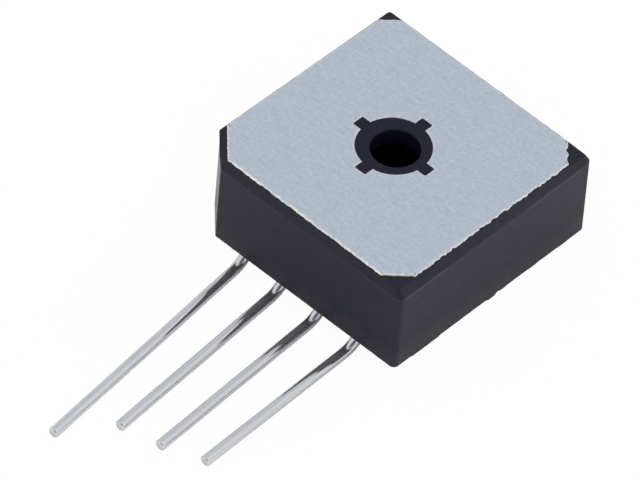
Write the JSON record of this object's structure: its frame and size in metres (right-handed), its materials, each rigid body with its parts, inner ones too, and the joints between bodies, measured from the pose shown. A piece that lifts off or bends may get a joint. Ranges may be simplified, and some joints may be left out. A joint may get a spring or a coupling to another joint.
{
  "type": "bridge rectifier",
  "caption": "Square black moulded bridge rectifier with an aluminium mounting face, a central screw hole and round wire leads bent out to one side.",
  "frame": {"origin": "on the axis of the mounting hole, in the outer face of the aluminium plate", "axes": "+Z is the outward normal of the mounting plate and runs along the hole; the leads leave the open side and run towards -Y; the positive lead is the one towards -X, beside the cut corner"},
  "size_m": [0.0286, 0.0567, 0.0173],
  "materials": {
    "moulded_plastic": "fine matt mould texture, black",
    "potting_epoxy": "cast epoxy, smooth, black",
    "aluminium_plate": "rolled sheet with a fine straight grain",
    "ceramic": "unglazed white alumina",
    "copper": "rolled copper",
    "silicon": "polished silicon with metallised faces",
    "solder": "soft solder, satin",
    "tinned_wire": "bright tinned copper wire"
  },
  "bodies": {
    "root": {"housing": "moulded_plastic", "bore_sleeve": "moulded_plastic", "base_plate": "aluminium_plate", "potting": "potting_epoxy", "insulator": "ceramic", "positive_frame": "copper", "negative_frame": "copper", "ac_strap_1": "copper", "ac_strap_2": "copper", "diode_chip_1": "silicon", "diode_chip_2": "silicon", "diode_chip_3": "silicon", "diode_chip_4": "silicon", "chip_1_frame_solder": "solder", "chip_1_strap_solder": "solder", "chip_2_frame_solder": "solder", "chip_2_strap_solder": "solder", "chip_3_frame_solder": "solder", "chip_3_strap_solder": "solder", "chip_4_frame_solder": "solder", "chip_4_strap_solder": "solder", "positive_lead_solder": "solder", "ac_1_lead_solder": "solder", "ac_2_lead_solder": "solder", "negative_lead_solder": "solder", "lead_positive": "tinned_wire", "lead_ac_1": "tinned_wire", "lead_ac_2": "tinned_wire", "lead_negative": "tinned_wire"}
  },
  "joints": []
}
